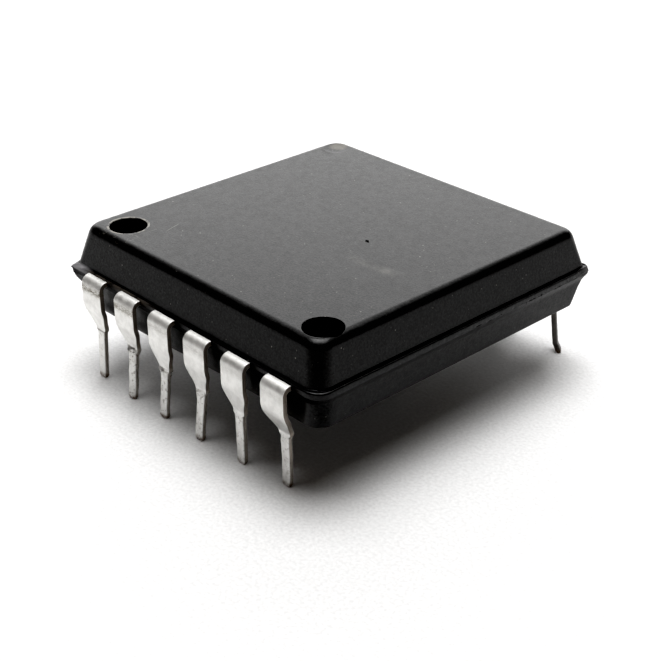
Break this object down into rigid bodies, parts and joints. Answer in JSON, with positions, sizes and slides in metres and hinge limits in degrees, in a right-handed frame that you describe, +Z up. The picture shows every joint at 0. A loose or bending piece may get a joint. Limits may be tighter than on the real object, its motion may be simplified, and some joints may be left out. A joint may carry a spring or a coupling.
{
  "type": "dual in-line through-hole chip package",
  "caption": "Black moulded through-hole chip package, nearly square, with bent tinned leads on opposite sides and two round recesses in the top.",
  "frame": {"origin": "under the centre of the package, level with the pin tips", "axes": "+X along the lead rows, +Y across them towards the row that the picture's view hides, +Z up, out of the top face"},
  "size_m": [0.0172, 0.0184, 0.0072],
  "materials": {
    "moulding": "fine satin moulding compound with filler specks",
    "tinned_lead": "satin tin plate with tool marks, solder at the steps and brownish tips",
    "lead_frame": "bare copper alloy sheet",
    "solder": "dull solder",
    "silicon": "polished silicon",
    "bond_wire": "drawn wire"
  },
  "bodies": {
    "root": {"moulded_body": "moulding", "lead_01": "tinned_lead", "lead_02": "tinned_lead", "lead_03": "tinned_lead", "lead_04": "tinned_lead", "lead_05": "tinned_lead", "lead_06": "tinned_lead", "lead_07": "tinned_lead", "lead_08": "tinned_lead", "lead_09": "tinned_lead", "lead_10": "tinned_lead", "lead_11": "tinned_lead", "lead_12": "tinned_lead", "die_paddle": "lead_frame", "die_attach": "solder", "die": "silicon", "bond_wire_01": "bond_wire", "bond_wire_02": "bond_wire", "bond_wire_03": "bond_wire", "bond_wire_04": "bond_wire", "bond_wire_05": "bond_wire", "bond_wire_06": "bond_wire", "bond_wire_07": "bond_wire", "bond_wire_08": "bond_wire", "bond_wire_09": "bond_wire", "bond_wire_10": "bond_wire", "bond_wire_11": "bond_wire", "bond_wire_12": "bond_wire"}
  },
  "joints": []
}
